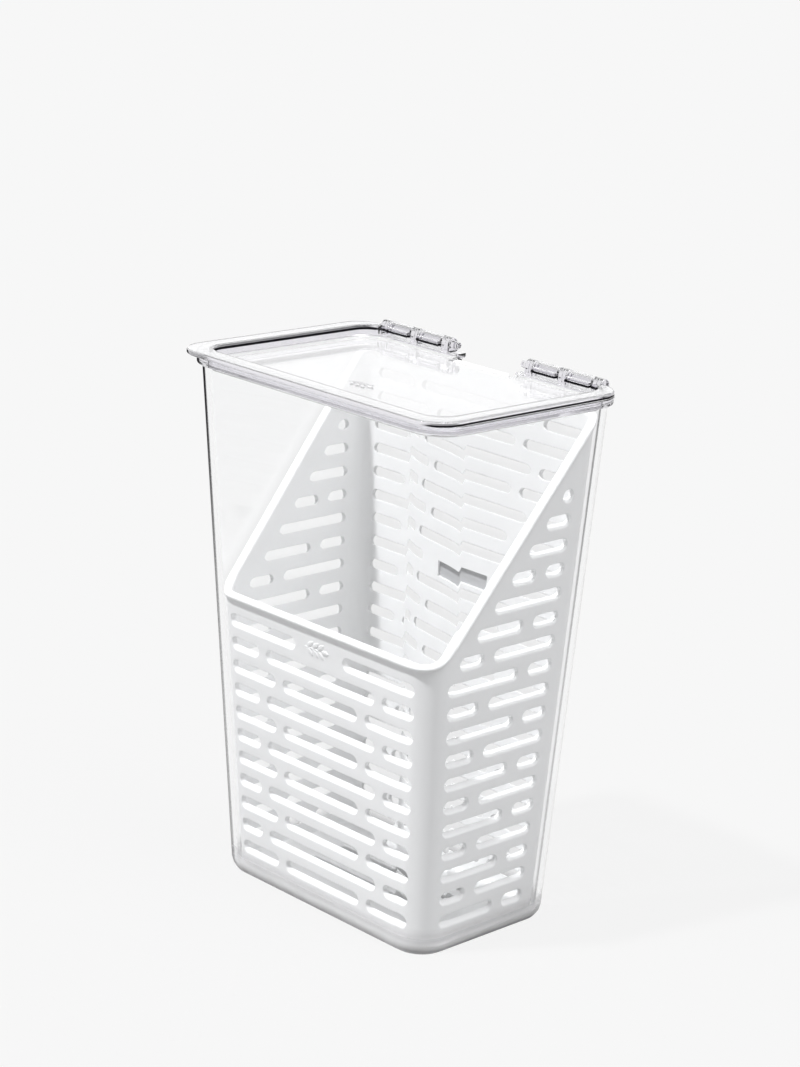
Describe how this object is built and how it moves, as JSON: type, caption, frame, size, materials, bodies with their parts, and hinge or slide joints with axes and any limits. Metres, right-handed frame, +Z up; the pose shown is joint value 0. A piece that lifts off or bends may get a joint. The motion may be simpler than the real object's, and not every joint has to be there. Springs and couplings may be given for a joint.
{
  "type": "herb keeper",
  "caption": "Tall clear keeper for fresh herbs: a slotted white basket stands in a tapered clear container with a hinged clear lid.",
  "frame": {"origin": "centre of the closed keeper's footprint box, on the plane that it stands on", "axes": "+Z up; +Y towards the hinge at the back; +X along the hinge, to the right when seen from the low front of the basket"},
  "size_m": [0.1396, 0.103, 0.2153],
  "materials": {
    "clear_container": "clear, polished",
    "white_basket": "satin white moulding",
    "clear_lid": "clear, polished"
  },
  "bodies": {
    "keeper": {"container": "clear_container", "basket": "white_basket"},
    "lid": {"lid": "clear_lid"}
  },
  "joints": [
    {"name": "lid_hinge", "type": "hinge", "parent": "keeper", "child": "lid", "pos_m": [0, 0.048, 0.2126], "axis": [-1, 0, 0], "range_deg": [0, 105]}
  ]
}
